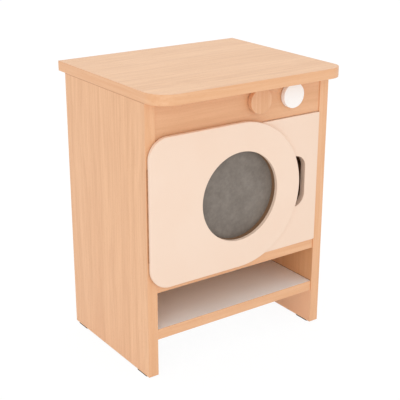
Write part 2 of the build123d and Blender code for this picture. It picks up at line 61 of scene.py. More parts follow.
# %% Camera
camera_place = Vector((-0.9859, -1.4020, 0.8941))
camera_yaw, camera_pitch, camera_roll = radians(35.12), radians(20.20), radians(0.11)
camera_lens, sensor_width = 85.17, 36.0  # mm


def make_camera():
    """A camera that sees the cabinet as the photograph does."""
    data = bpy.data.cameras.new("studio_camera")
    data.sensor_width = sensor_width
    data.lens = camera_lens
    data.clip_start, data.clip_end = 0.05, 50.0
    camera = bpy.data.objects.new("studio_camera", data)
    bpy.context.scene.collection.objects.link(camera)
    level = Vector((cos(camera_yaw), -sin(camera_yaw), 0.0))
    ahead = sin(camera_yaw) * cos(camera_pitch), cos(camera_yaw) * cos(camera_pitch)
    forward = Vector((*ahead, -sin(camera_pitch)))
    upright = level.cross(forward)
    right = level * cos(camera_roll) + upright * sin(camera_roll)
    up = upright * cos(camera_roll) - level * sin(camera_roll)
    turn = Matrix((right, up, -forward)).transposed()
    camera.matrix_world = Matrix.Translation(camera_place) @ turn.to_4x4()
    bpy.context.scene.camera = camera


make_camera()
print("camera stands", round(camera_place.length, 3), "m from the origin")

# %% [markdown]
# ## Helpers for node trees
#
# Every material below is a small tree of shader nodes. A few helpers keep those trees readable:
# each adds a node with its settings and inputs in a single call, and joins it to what it reads.


# %% Node helpers
def add_node(tree, kind, inputs=None, **settings):
    """Adds a shader node. inputs maps a socket's name or number to a value or to another socket."""
    node = tree.nodes.new(kind)
    for name, value in settings.items():
        setattr(node, name, value)
    for key, value in (inputs or {}).items():
        if isinstance(value, bpy.types.NodeSocket):
            tree.links.new(value, node.inputs[key])
        else:
            node.inputs[key].default_value = value
    return node


def math_node(tree, operation, *values):
    """A Math node's result, from up to three numbers or sockets."""
    return add_node(tree, "ShaderNodeMath", dict(enumerate(values)), operation=operation).outputs[0]


def part_of(tree, vector, axis):
    """One axis, such as "X", of a vector socket."""
    return add_node(tree, "ShaderNodeSeparateXYZ", {"Vector": vector}).outputs[axis]


def mix_value(tree, share, first, second):
    """The number between two numbers, at a share from 0 to 1."""
    return add_node(tree, "ShaderNodeMix", {0: share, 2: first, 3: second}).outputs[0]


def mix_colour(tree, share, first, second):
    """The colour between two colours, at a share from 0 to 1."""
    # The Mix node holds a set of sockets for each kind of data, and these are the colour ones.
    node = tree.nodes.new("ShaderNodeMix")
    node.data_type = "RGBA"
    for number, value in ((0, share), (6, first), (7, second)):
        if isinstance(value, bpy.types.NodeSocket):
            tree.links.new(value, node.inputs[number])
        else:
            node.inputs[number].default_value = value
    return node.outputs[2]


def stretch(tree, value, low, high):
    """Maps low..high onto 0..1, with soft ends."""
    places = {"Value": value, "From Min": low, "From Max": high}
    node = add_node(tree, "ShaderNodeMapRange", places, interpolation_type="SMOOTHSTEP")
    return node.outputs["Result"]


def noise(tree, vector, scale, detail, roughness=0.5):
    """Noise from 0 to 1, with its scale in features per metre."""
    places = {"Vector": vector, "Scale": scale, "Detail": detail, "Roughness": roughness}
    return add_node(tree, "ShaderNodeTexNoise", places).outputs["Fac"]


def linear(red, green, blue):
    """A colour as a picture shows it, 0 to 255, made the linear RGBA that a socket wants."""

    def bend(value):
        share = value / 255
        return share / 12.92 if share <= 0.04045 else ((share + 0.055) / 1.055) ** 2.4

    return bend(red), bend(green), bend(blue), 1.0


# %% [markdown]
# ## Shared effects as node groups
#
# Grain, edge wear and fine unevenness appear in more than one finish, so each is a node group
# that is built once. A group hands out colours, masks and heights only, and the shader that uses
# them stays in the material.
#
# Printed beech has three scales. Broad bands come from the growth rings, which a flat-sawn board
# cuts at a shallow angle. Fine streaks run inside them, and short darker flecks, the rays that
# tell beech from other woods, lie along the grain. All three are noise, stretched along X.


# %% Group: beech grain
def new_group(name, inputs, outputs):
    """An empty shader group with typed sockets, and its input and output nodes."""
    group = bpy.data.node_groups.new(name, "ShaderNodeTree")
    kinds = {"colour": "NodeSocketColor", "value": "NodeSocketFloat", "vector": "NodeSocketVector"}
    for label, kind, default in inputs:
        socket = group.interface.new_socket(name=label, in_out="INPUT", socket_type=kinds[kind])
        if default is not None:
            socket.default_value = default
    for label, kind in outputs:
        group.interface.new_socket(name=label, in_out="OUTPUT", socket_type=kinds[kind])
    return group, group.nodes.new("NodeGroupInput"), group.nodes.new("NodeGroupOutput")


def long_noise(tree, vector, scale, detail, roughness=0.5):
    """Noise whose scale differs along X, Y and Z, in features per metre."""
    spread = add_node(tree, "ShaderNodeVectorMath", {0: vector, 1: scale}, operation="MULTIPLY")
    return noise(tree, spread.outputs[0], 1.0, detail, roughness)


sway_scale, sway_reach = (2.2, 5.0, 5.0), 0.035
band_scale, streak_scale, fleck_scale = (1.6, 52.0, 52.0), (7.0, 330.0, 330.0), (260.0, 1700.0, 1700.0)


def make_beech_group():
    group, given, result = new_group(
        "beech_grain",
        [
            ("Vector", "vector", None),
            ("Pale", "colour", (0.8, 0.5, 0.3, 1.0)),
            ("Dark", "colour", (0.6, 0.3, 0.2, 1.0)),
            ("Fleck", "colour", (0.4, 0.2, 0.1, 1.0)),
            ("Fleck Share", "value", 0.3),
            ("Band Size", "value", 1.0),
            ("Streak Share", "value", 0.4),
        ],
        [("Colour", "colour"), ("Height", "value"), ("Roughness", "value")],
    )
    vector = given.outputs["Vector"]
    sway = long_noise(group, vector, sway_scale, 2.0)
    offset = math_node(group, "MULTIPLY", math_node(group, "SUBTRACT", sway, 0.5), sway_reach)
    shift = add_node(group, "ShaderNodeCombineXYZ", {"X": 0.0, "Y": offset, "Z": offset})
    swayed = add_node(group, "ShaderNodeVectorMath", {0: vector, 1: shift.outputs[0]}, operation="ADD")
    places = {0: swayed.outputs[0], "Scale": given.outputs["Band Size"]}
    sized = add_node(group, "ShaderNodeVectorMath", places, operation="SCALE")
    bands = long_noise(group, sized.outputs[0], band_scale, 3.0, 0.62)
    streaks = long_noise(group, swayed.outputs[0], streak_scale, 3.0, 0.6)
    flecks = long_noise(group, swayed.outputs[0], fleck_scale, 1.0)
    band_share = stretch(group, bands, 0.33, 0.67)
    streak_share = stretch(group, streaks, 0.3, 0.7)
    share = mix_value(group, given.outputs["Streak Share"], band_share, streak_share)
    fleck_mask = stretch(group, flecks, 0.60, 0.72)
    wood = mix_colour(group, share, given.outputs["Dark"], given.outputs["Pale"])
    strength = math_node(group, "MULTIPLY", fleck_mask, given.outputs["Fleck Share"])
    group.links.new(mix_colour(group, strength, wood, given.outputs["Fleck"]), result.inputs["Colour"])
    height = math_node(group, "SUBTRACT", math_node(group, "MULTIPLY", streak_share, 0.4), fleck_mask)
    group.links.new(height, result.inputs["Height"])
    dull_flecks = math_node(group, "MULTIPLY", fleck_mask, 0.12)
    dull_streaks = math_node(group, "MULTIPLY", streak_share, 0.06)
    group.links.new(math_node(group, "ADD", dull_flecks, dull_streaks), result.inputs["Roughness"])
    return group


beech_group = make_beech_group()
print("beech_grain has", len(beech_group.nodes), "nodes")

# %% [markdown]
# ### Edge wear and painted highlight
#
# Hands and sleeves polish the edges of children's furniture first. Cycles has a Bevel node that
# answers with a rounded normal near an edge. Where that normal leans away from the true one, the
# point lies on an edge, so the difference of the two is a mask. Noise breaks the mask up. The
# lighter colour that the mask brings to an edge is partly wear and partly a painted highlight, where
# the rounded edge would catch the light.


# %% Group: edge wear and painted highlight
def make_wear_and_highlight_group():
    group, given, result = new_group(
        "edge_wear_and_highlight",
        [("Vector", "vector", None), ("Radius", "value", 0.001), ("Patches", "value", 90.0)],
        [("Mask", "value")],
    )
    bevel = add_node(group, "ShaderNodeBevel", {"Radius": given.outputs["Radius"]}, samples=4)
    true = group.nodes.new("ShaderNodeNewGeometry")
    normals = {0: bevel.outputs["Normal"], 1: true.outputs["Normal"]}
    lean = add_node(group, "ShaderNodeVectorMath", normals, operation="DOT_PRODUCT")
    edge = stretch(group, lean.outputs["Value"], 0.995, 0.80)
    broken = stretch(group, noise(group, given.outputs["Vector"], given.outputs["Patches"], 3.0), 0.35, 0.75)
    group.links.new(math_node(group, "MULTIPLY", edge, broken), result.inputs["Mask"])
    return group


wear_and_highlight_group = make_wear_and_highlight_group()

# %% [markdown]
# ### Fine unevenness
#
# Lacquer and moulded plastic are never quite flat. Two sizes of noise give a height for a Bump
# node and a slow change of tone and gloss, which keep broad plain faces from looking computed.


# %% Group: surface unevenness
def make_uneven_group():
    group, given, result = new_group(
        "fine_unevenness",
        [("Vector", "vector", None), ("Peel Scale", "value", 400.0), ("Cloud Scale", "value", 9.0)],
        [("Height", "value"), ("Cloud", "value")],
    )
    vector = given.outputs["Vector"]
    peel = noise(group, vector, given.outputs["Peel Scale"], 2.0)
    cloud = noise(group, vector, given.outputs["Cloud Scale"], 4.0)
    group.links.new(peel, result.inputs["Height"])
    group.links.new(stretch(group, cloud, 0.3, 0.7), result.inputs["Cloud"])
    return group


uneven_group = make_uneven_group()

# %% [markdown]
# ### Pressed board
#
# Where a board is cut and not banded, its core shows: glued wood chips in the boards of the
# carcass. A Voronoi texture splits space into cells, and the random colour that it hands out for
# each cell gives every chip a tone of its own.


# %% Group: chip core
chips_per_metre = 420.0


def make_chip_group():
    group, given, result = new_group(
        "chip_core",
        [
            ("Vector", "vector", None),
            ("Pale", "colour", (0.6, 0.4, 0.2, 1.0)),
            ("Dark", "colour", (0.3, 0.2, 0.1, 1.0)),
        ],
        [("Colour", "colour"), ("Height", "value")],
    )
    places = {"Vector": given.outputs["Vector"], "Scale": chips_per_metre, "Randomness": 1.0}
    chips = add_node(group, "ShaderNodeTexVoronoi", places)
    tone = add_node(group, "ShaderNodeSeparateColor", {"Color": chips.outputs["Color"]})
    share = math_node(group, "MULTIPLY", tone.outputs[0], tone.outputs[1])
    colour = mix_colour(group, share, given.outputs["Dark"], given.outputs["Pale"])
    group.links.new(colour, result.inputs["Colour"])
    group.links.new(share, result.inputs["Height"])
    return group


chip_group = make_chip_group()

# %% [markdown]
# ## Materials
#
# A finish reads Object coordinates, which stay with the piece when the door swings or a knob
# turns. A Mapping node turns them so that the grain, drawn along X in the group, runs up a side
# panel or across the top. Each piece also gets its own offset, because no two boards come from
# the same stretch of printed foil.

# %% Tones of the finishes
beech_tones = linear(242, 192, 149), linear(225, 170, 126)
# A lighter copy of the beech for the top and the compartment floor: painted light from above and a painted
# sheen.
painted_light_beech_tones = linear(250, 206, 166), linear(231, 180, 136)
# A darker, redder copy of the beech for the control panel: painted shade under the top's overhang.
overhang_shade_beech_tones = linear(236, 184, 142), linear(223, 168, 124)
# A darker copy of the beech for the right panel and the back panel: painted shade inside the niche.
niche_shade_beech_tones = linear(236, 180, 132), linear(224, 164, 114)
white_tones = linear(252, 250, 247), linear(248, 245, 242)
beech_fleck = linear(200, 134, 92)
band_pale, band_dark, band_fleck = linear(238, 187, 144), linear(229, 172, 126), linear(200, 132, 88)
# The lighter band tone for edges: partly wear and partly a painted highlight.
band_worn_highlight = linear(246, 204, 166)
turned_pale, turned_dark, turned_fleck = linear(238, 190, 150), linear(224, 168, 124), linear(176, 108, 70)
chip_pale, chip_dark = linear(222, 190, 150), linear(172, 132, 92)
# The lighter cream serves the random clouds in the paint, the rubbed edges and a painted highlight on the
# edges.
cream, cream_worn_highlight = linear(244, 216, 194), linear(249, 229, 212)
raw_board_pale, raw_board_dark = linear(150, 116, 86), linear(112, 80, 54)
# The finger slot wall's tone, set lighter than the cream lacquer: painted light in the slot.
slot_painted_light_pale, slot_painted_light_dark = linear(254, 225, 202), linear(246, 212, 188)
pane_pale, pane_dark = linear(135, 126, 117), linear(108, 98, 89)

grain_turns = {"x": (0.0, 0.0, 0.0), "y": (0.0, 0.0, radians(90)), "z": (0.0, radians(90), 0.0)}
print_depth, lacquer_depth, moulded_depth, frosted_depth = 0.0001, 0.0001, 0.00005, 0.0002  # metres


def start_material(name, **fixed):
    """A material with one Principled shader, whose plain values are set on its own sockets."""
    material = bpy.data.materials.new(name)
    material.use_nodes = True
    tree = material.node_tree
    shader = tree.nodes["Principled BSDF"]
    for label, value in fixed.items():
        shader.inputs[label.replace("_", " ")].default_value = value
    return material, tree, shader


def object_vector(tree, turn=(0.0, 0.0, 0.0), offset=(0.0, 0.0, 0.0)):
    """Object coordinates, turned and shifted to suit one piece."""
    coordinates = tree.nodes.new("ShaderNodeTexCoord")
    mapping = add_node(
        tree,
        "ShaderNodeMapping",
        {"Vector": coordinates.outputs["Object"], "Rotation": turn, "Location": offset},
        vector_type="POINT",
    )
    return coordinates, mapping.outputs["Vector"]


def add_bump(tree, shader, height, strength, distance):
    """Sends a height to the shader's normal."""
    bump = add_node(tree, "ShaderNodeBump", {"Height": height, "Strength": strength, "Distance": distance})
    tree.links.new(bump.outputs["Normal"], shader.inputs["Normal"])


def group_node(tree, group, **inputs):
    """Places a group in a material. An underscore in an input's name stands for a space."""
    node = tree.nodes.new("ShaderNodeGroup")
    node.node_tree = group
    for label, value in inputs.items():
        socket = node.inputs[label.replace("_", " ")]
        if isinstance(value, bpy.types.NodeSocket):
            tree.links.new(value, socket)
        else:
            socket.default_value = value
    return node


# %% [markdown]
# ### Faced board
#
# A board of the carcass is chipboard with a printed facing on its two broad sides. The material
# looks at the surface normal: across the board's thickness it shows the facing, and along the
# cut edges and inside the drilled holes it shows the chips.
#
# A few places on the facing carry painted shade and painted light: a thin line of painted shadow in
# the joint under the top and in the joint with the white shelf, and a lighter, rosier stretch below
# that shelf, painted light that stands in for light from the floor. Each is a box in Object
# coordinates. A point is inside when it is nearer to the middle than half the box's size, along all
# three axes.


# %% Material: beech-faced board
def box_mask(tree, position, low, high):
    """1 inside a box of object coordinates and 0 outside it."""
    middle = [(a + b) / 2 for a, b in zip(low, high)]
    half = [(b - a) / 2 for a, b in zip(low, high)]
    away = add_node(tree, "ShaderNodeVectorMath", {0: position, 1: middle}, operation="SUBTRACT")
    away = add_node(tree, "ShaderNodeVectorMath", {0: away.outputs["Vector"]}, operation="ABSOLUTE")
    room = add_node(tree, "ShaderNodeVectorMath", {0: half, 1: away.outputs["Vector"]}, operation="SUBTRACT")
    x, y, z = add_node(tree, "ShaderNodeSeparateXYZ", {"Vector": room.outputs["Vector"]}).outputs
    least = math_node(tree, "MINIMUM", math_node(tree, "MINIMUM", x, y), z)
    return math_node(tree, "GREATER_THAN", least, 0.0)


def make_board(name, grain, across, offset, tones, streaks, zones=()):
    """Faced chipboard. grain is the printed grain's axis, across the axis of the board's thickness.

    Each of the zones is a box in object coordinates with a tone and the tone's share inside it.
    """
    pale, dark = tones
    material, tree, shader = start_material(name, Specular_IOR_Level=0.5)
    coordinates, vector = object_vector(tree, grain_turns[grain], offset)
    place = coordinates.outputs["Object"]
    facing = math_node(tree, "ABSOLUTE", part_of(tree, coordinates.outputs["Normal"], across))
    facing_mask = stretch(tree, facing, 0.75, 0.9)
    chips = group_node(tree, chip_group, Vector=place, Pale=chip_pale, Dark=chip_dark)
    if tones is not white_tones:
        grain_node = group_node(
            tree,
            beech_group,
            Vector=vector,
            Pale=pale,
            Dark=dark,
            Fleck=beech_fleck,
            Fleck_Share=0.28,
            Band_Size=1.0,
            Streak_Share=streaks,
        )
        face_colour = grain_node.outputs["Colour"]
        face_height = grain_node.outputs["Height"]
        gloss = math_node(tree, "ADD", grain_node.outputs["Roughness"], 0.40)
    else:
        uneven = group_node(tree, uneven_group, Vector=place)
        face_colour = mix_colour(tree, uneven.outputs["Cloud"], dark, pale)
        face_height = uneven.outputs["Height"]
        gloss = math_node(tree, "ADD", math_node(tree, "MULTIPLY", uneven.outputs["Cloud"], 0.06), 0.38)
    # The zones paint shade and light onto the facing.
    for low, high, tone, share in zones:
        inside = math_node(tree, "MULTIPLY", box_mask(tree, place, low, high), share)
        face_colour = mix_colour(tree, inside, face_colour, tone)
    colour = mix_colour(tree, facing_mask, chips.outputs["Colour"], face_colour)
    tree.links.new(colour, shader.inputs["Base Color"])
    tree.links.new(mix_value(tree, facing_mask, 0.9, gloss), shader.inputs["Roughness"])
    height = mix_value(tree, facing_mask, chips.outputs["Height"], face_height)
    add_bump(tree, shader, height, 0.35, print_depth)
    return material


def dress(material, *names):
    """Puts a material on whole CAD nodes."""
    for name in names:
        for slot in nodes[name].material_slots:
            slot.material = material


# %% Places with painted shade and painted light
top_joint_shade_tone, top_joint_shade_height, top_joint_shade_share = linear(172, 108, 66), 0.0012, 0.55
shelf_joint_shade_tone, shelf_joint_shade_height, shelf_joint_shade_share = linear(110, 62, 34), 0.0014, 0.7
foot_bounce_light_tone, foot_bounce_light_share = linear(252, 192, 150), 0.85
spare, skin_depth, far = 0.01, 0.002, 1.0  # metres
shelf_low, shelf_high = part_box("bottom_shelf")


def top_joint_shade_zone(panel):
    """A line of painted shade along a side panel's upper end, under the top."""
    low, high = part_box(panel)
    start = low.x - spare, low.y - spare, high.z - top_joint_shade_height
    end = high.x + spare, high.y + spare, high.z + spare
    return start, end, top_joint_shade_tone, top_joint_shade_share


def shelf_joint_shade_zone():
    """A line of painted shade on the right panel's inner face, along the top of the white shelf."""
    start = shelf_high.x - skin_depth, shelf_low.y, shelf_high.z
    end = shelf_high.x + skin_depth, shelf_high.y + spare, shelf_high.z + shelf_joint_shade_height
    return start, end, shelf_joint_shade_tone, shelf_joint_shade_share


def foot_bounce_light_zone():
    """The right panel's inner face below the white shelf, lightened as painted light from the floor."""
    start = shelf_high.x - skin_depth, -far, -far
    return start, (shelf_high.x + skin_depth, far, shelf_low.z), foot_bounce_light_tone, foot_bounce_light_share


# %% Boards
# For each board: the grain's axis, the axis of its thickness, its place in the print, its tones,
# how much its fine streaks count against its broad bands, and its zones.
left_zones = (top_joint_shade_zone("side_panel_left"),)
right_zones = top_joint_shade_zone("side_panel_right"), shelf_joint_shade_zone(), foot_bounce_light_zone()
board_plan = {
    "top_board": ("x", "Z", (0.0, 0.13, 0.31), painted_light_beech_tones, 0.7),
    "control_panel": ("x", "Y", (0.4, 0.02, 0.77), overhang_shade_beech_tones, 0.25),
    "side_panel_left": ("z", "X", (0.9, 0.21, 0.05), beech_tones, 0.6, left_zones),
    "side_panel_right": ("z", "X", (1.7, 0.48, 0.33), niche_shade_beech_tones, 0.45, right_zones),
    "compartment_floor": ("x", "Z", (2.2, 0.37, 0.12), painted_light_beech_tones, 0.4),
    "bottom_shelf": ("x", "Z", (2.9, 0.11, 0.64), white_tones, 0.4),
    "back_panel": ("z", "Y", (3.3, 0.26, 0.18), niche_shade_beech_tones, 0.4),
}
for board, plan in board_plan.items():
    dress(make_board(f"{board}_facing", *plan), board)
print("boards dressed:", ", ".join(board_plan))

# %% [markdown]
# ### Edge bands
#
# The bands are strips of plastic with their own print, a shade warmer than the boards. Their
# grain runs along the strip, which on the top's band turns the corners with it.


# %% Material: edge band
def make_band(name, grain, offset):
    """Printed plastic edge band with its grain along one axis, or along the strip all round."""
    material, tree, shader = start_material(name, Specular_IOR_Level=0.5)
    coordinates, vector = object_vector(tree, grain_turns["x" if grain == "around" else grain], offset)
    if grain == "around":
        sideways = math_node(tree, "ABSOLUTE", part_of(tree, coordinates.outputs["Normal"], "X"))
        on_side = math_node(tree, "GREATER_THAN", sideways, 0.7)
        side_vector = object_vector(tree, grain_turns["y"], offset)[1]
        # Sockets 4 and 5 of the Mix node are its two vectors.
        turned = add_node(tree, "ShaderNodeMix", {0: on_side, 4: vector, 5: side_vector}, data_type="VECTOR")
        vector = turned.outputs[1]
    grain_node = group_node(
        tree,
        beech_group,
        Vector=vector,
        Pale=band_pale,
        Dark=band_dark,
        Fleck=band_fleck,
        Fleck_Share=0.22,
        Band_Size=2.2,
    )
    # The lighter edges are partly wear and partly a painted highlight where the rounded edge catches the
    # light.
    wear_and_highlight = group_node(tree, wear_and_highlight_group, Vector=coordinates.outputs["Object"], Radius=0.0008, Patches=60.0)
    worn_and_highlight = math_node(tree, "MULTIPLY", wear_and_highlight.outputs["Mask"], 0.35)
    colour = mix_colour(tree, worn_and_highlight, grain_node.outputs["Colour"], band_worn_highlight)
    tree.links.new(colour, shader.inputs["Base Color"])
    tree.links.new(math_node(tree, "ADD", grain_node.outputs["Roughness"], 0.36), shader.inputs["Roughness"])
    add_bump(tree, shader, grain_node.outputs["Height"], 0.25, print_depth)
    return material


band_plan = {
    "top_edge_band": ("around", (0.5, 0.9, 0.2)),
    "side_edge_band_left": ("z", (0.1, 0.4, 0.7)),
    "side_edge_band_right": ("z", (1.1, 0.8, 0.3)),
    "compartment_floor_edge_band": ("x", (2.1, 0.2, 0.6)),
    "bottom_shelf_edge_band": ("x", (3.1, 0.6, 0.1)),
    "control_panel_edge_band": ("x", (4.1, 0.3, 0.5)),
}
for band, (grain, offset) in band_plan.items():
    dress(make_band(f"{band}_print", grain, offset), band)

# %% [markdown]
# ### Cream lacquer
#
# The door is fibreboard, sprayed cream on its faces and outer edges. The wall of the window in the
# rear plate was cut afterwards and shows the raw brown board, and the wall of the finger slot has a
# tone a little lighter than the cream, painted light that stands in for light reaching the slot.
# Masks in Object coordinates pick out both: a distance from the window's axis, and a box round the
# slot, each kept to faces that don't look forwards or back.

# %% Places on the door, from the frame
plate_low, plate_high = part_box("door_plate")
pane_low, pane_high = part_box("window_pane")
door_middle_z = (plate_low.z + plate_high.z) / 2
window_x = (pane_low.x + pane_high.x) / 2
pane_rim = 0.010
window_radius = (pane_high.x - pane_low.x) / 2 - pane_rim
slot_half_width, slot_half_length, slot_margin = 0.024, 0.050, 0.0301
slot_x = plate_high.x - slot_margin - slot_half_width
print("window centre x", round(window_x, 4), "radius", round(window_radius, 4), "slot x", round(slot_x, 4))


# %% Material: cream lacquer
def wall_masks(tree, coordinates):
    """Two masks on the door plate: the window's wall and the slot's wall."""
    skin = 0.0003
    facing = part_of(tree, coordinates.outputs["Normal"], "Y")
    is_wall = math_node(tree, "LESS_THAN", math_node(tree, "ABSOLUTE", facing), 0.6)
    place = add_node(tree, "ShaderNodeSeparateXYZ", {"Vector": coordinates.outputs["Object"]})
    z = math_node(tree, "ABSOLUTE", math_node(tree, "SUBTRACT", place.outputs["Z"], door_middle_z))
    window_dx = math_node(tree, "SUBTRACT", place.outputs["X"], window_x)
    squares = [math_node(tree, "POWER", side, 2.0) for side in (math_node(tree, "ABSOLUTE", window_dx), z)]
    reach = math_node(tree, "SQRT", math_node(tree, "ADD", *squares))
    in_window = math_node(tree, "LESS_THAN", reach, window_radius + skin)
    slot_dx = math_node(tree, "ABSOLUTE", math_node(tree, "SUBTRACT", place.outputs["X"], slot_x))
    across = math_node(tree, "LESS_THAN", slot_dx, slot_half_width + skin)
    along = math_node(tree, "LESS_THAN", z, slot_half_length + skin)
    in_slot = math_node(tree, "MULTIPLY", across, along)
    return [math_node(tree, "MULTIPLY", is_wall, mask) for mask in (in_window, in_slot)]


def make_lacquer(name, base, worn_and_highlight, raw_walls=False):
    """Sprayed lacquer with soft orange peel, and edges lightened partly by rubbing and partly as a painted
    highlight.
    """
    material, tree, shader = start_material(name, Specular_IOR_Level=0.45, Coat_Roughness=0.25)
    coordinates, vector = object_vector(tree)
    uneven = group_node(tree, uneven_group, Vector=vector, Peel_Scale=520.0, Cloud_Scale=7.0)
    wear_and_highlight = group_node(tree, wear_and_highlight_group, Vector=vector, Radius=0.0012, Patches=45.0)
    tone = math_node(tree, "MULTIPLY", uneven.outputs["Cloud"], 0.25)
    paint = mix_colour(tree, tone, base, worn_and_highlight)
    # Edges are lightened, partly as wear and partly as a painted highlight.
    rubbed_and_highlit = math_node(tree, "MULTIPLY", wear_and_highlight.outputs["Mask"], 0.5)
    paint = mix_colour(tree, rubbed_and_highlit, paint, worn_and_highlight)
    gloss = math_node(tree, "ADD", math_node(tree, "MULTIPLY", uneven.outputs["Cloud"], 0.08), 0.42)
    if raw_walls:
        window_wall, slot_wall = wall_masks(tree, coordinates)
        fibre = noise(tree, vector, 900.0, 3.0)
        raw = mix_colour(tree, fibre, raw_board_dark, raw_board_pale)
        # The finger slot's wall gets a lighter tone, painted light in the slot.
        slot_painted_light = mix_colour(tree, fibre, slot_painted_light_dark, slot_painted_light_pale)
        paint = mix_colour(tree, window_wall, mix_colour(tree, slot_wall, paint, slot_painted_light), raw)
        gloss = mix_value(tree, window_wall, gloss, 0.85)
    tree.links.new(paint, shader.inputs["Base Color"])
    tree.links.new(gloss, shader.inputs["Roughness"])
    add_bump(tree, shader, uneven.outputs["Height"], 0.12, lacquer_depth)
    return material


dress(make_lacquer("cream_lacquer", cream, cream_worn_highlight), "door_front_plate")
dress(make_lacquer("cream_lacquer_raw_walls", cream, cream_worn_highlight, raw_walls=True), "door_plate")

# %% [markdown]
# ### Smoky window
#
# The pane is a matt acrylic sheet. Seen through its frosted face it has a cloudy grey with faint
# warmer patches, which two sizes of noise give.


# %% Material: smoky pane
def make_smoky_pane():
    material, tree, shader = start_material("smoky_acrylic", Specular_IOR_Level=0.5, Coat_Roughness=0.35)
    vector = object_vector(tree)[1]
    broad = noise(tree, vector, 22.0, 5.0, 0.62)
    fine = noise(tree, vector, 160.0, 3.0, 0.6)
    share = mix_value(tree, 0.35, stretch(tree, broad, 0.3, 0.7), stretch(tree, fine, 0.3, 0.7))
    tree.links.new(mix_colour(tree, share, pane_dark, pane_pale), shader.inputs["Base Color"])
    gloss = math_node(tree, "ADD", math_node(tree, "MULTIPLY", share, 0.15), 0.45)
    tree.links.new(gloss, shader.inputs["Roughness"])
    add_bump(tree, shader, fine, 0.15, frosted_depth)
    return material


dress(make_smoky_pane(), "window_pane")

# %% [markdown]
# ### Turned wood, paint and metal
#
# The knobs are turned from solid beech, and one is painted. Solid wood has the same grain group
# with darker flecks. The metals share one recipe with different colours, because zinc and bronzed
# steel differ in tone far more than in surface.


# %% Material: solid beech
def make_solid_beech(name, grain, offset):
    material, tree, shader = start_material(name, Specular_IOR_Level=0.5)
    vector = object_vector(tree, grain_turns[grain], offset)[1]
    grain_node = group_node(
        tree,
        beech_group,
        Vector=vector,
        Pale=turned_pale,
        Dark=turned_dark,
        Fleck=turned_fleck,
        Fleck_Share=0.2,
        Band_Size=2.6,
        Streak_Share=0.25,
    )
    tree.links.new(grain_node.outputs["Colour"], shader.inputs["Base Color"])
    tree.links.new(math_node(tree, "ADD", grain_node.outputs["Roughness"], 0.36), shader.inputs["Roughness"])
    add_bump(tree, shader, grain_node.outputs["Height"], 0.3, print_depth)
    return material


# %% Material: metals
def make_metal(name, pale, dark, gloss):
    """Plated or rolled metal: fine streaks in tone and gloss, duller where it was handled."""
    material, tree, shader = start_material(name, Metallic=1.0)
    vector = object_vector(tree)[1]
    uneven = group_node(tree, uneven_group, Vector=vector, Peel_Scale=1500.0, Cloud_Scale=120.0)
    tree.links.new(mix_colour(tree, uneven.outputs["Cloud"], dark, pale), shader.inputs["Base Color"])
    roughness = math_node(tree, "ADD", math_node(tree, "MULTIPLY", uneven.outputs["Cloud"], 0.12), gloss)
    tree.links.new(roughness, shader.inputs["Roughness"])
    add_bump(tree, shader, uneven.outputs["Height"], 0.1, moulded_depth)
    return material


# %% Material: plastics
def make_plastic(name, pale, dark, gloss, shine=0.5):
    """Moulded plastic with a faint spark-eroded texture."""
    material, tree, shader = start_material(name, Specular_IOR_Level=shine)
    vector = object_vector(tree)[1]
    uneven = group_node(tree, uneven_group, Vector=vector, Peel_Scale=2200.0, Cloud_Scale=60.0)
    tree.links.new(mix_colour(tree, uneven.outputs["Cloud"], dark, pale), shader.inputs["Base Color"])
    roughness = math_node(tree, "ADD", math_node(tree, "MULTIPLY", uneven.outputs["Height"], 0.1), gloss)
    tree.links.new(roughness, shader.inputs["Roughness"])
    add_bump(tree, shader, uneven.outputs["Height"], 0.3, moulded_depth)
    return material


solid_beech = make_solid_beech("lacquered_beech", "z", (0.37, 0.57, 0.93))
# Its lighter tone goes to the same rubbed edges and painted highlight.
white_lacquer = make_lacquer("white_lacquer", linear(252, 249, 246), linear(255, 254, 252))
zinc = make_metal("zinc_plate", linear(200, 202, 205), linear(168, 170, 174), 0.30)
bronze = make_metal("bronzed_steel", linear(206, 152, 114), linear(180, 128, 92), 0.42)
white_moulding = make_plastic("white_moulding", linear(236, 235, 231), linear(226, 225, 221), 0.42)
dark_moulding = make_plastic("dark_moulding", linear(44, 34, 26), linear(30, 23, 18), 0.8, 0.15)
ferrite = make_plastic("sintered_ferrite", linear(74, 70, 68), linear(52, 49, 48), 0.7)

dress(solid_beech, "knob_beech", "dowels")
dress(white_lacquer, "knob_white")
dress(
    zinc,
    "back_panel_screws",
    "cam_housings",
    "cam_bolts",
    "glide_nails",
    "catch_poles",
    "catch_screws",
    "strike_plate",
    "strike_screw",
    "front_plate_screws",
    "pane_clip_screws",
    "knob_beech_bolt",
    "knob_beech_washer",
    "knob_white_bolt",
    "knob_white_washer",
)
dress(
    bronze,
    "hinge_leaf_fixed",
    "hinge_leaf_door",
    "hinge_pin",
    "hinge_screws_fixed",
    "hinge_screws_door",
    "knob_beech_insert",
    "knob_white_insert",
)
dress(white_moulding, "catch_housing", "pane_clips", "knob_bushes")
dress(dark_moulding, "glides")
dress(ferrite, "catch_magnet")

# %% [markdown]
# ## Screws
#
# In the frame each screw is a plain shank with a plain head, which is all that motion needs. Here
# they get a cross recess and a thread. One screw of each kind is modelled once, head up, along Z:
# a circle is extruded from the point up to the head, ring by ring, the thread is a ridge that climbs
# one pitch per turn, and the recess is cut out with a Boolean modifier. The frame's own screws then
# say where each copy goes.


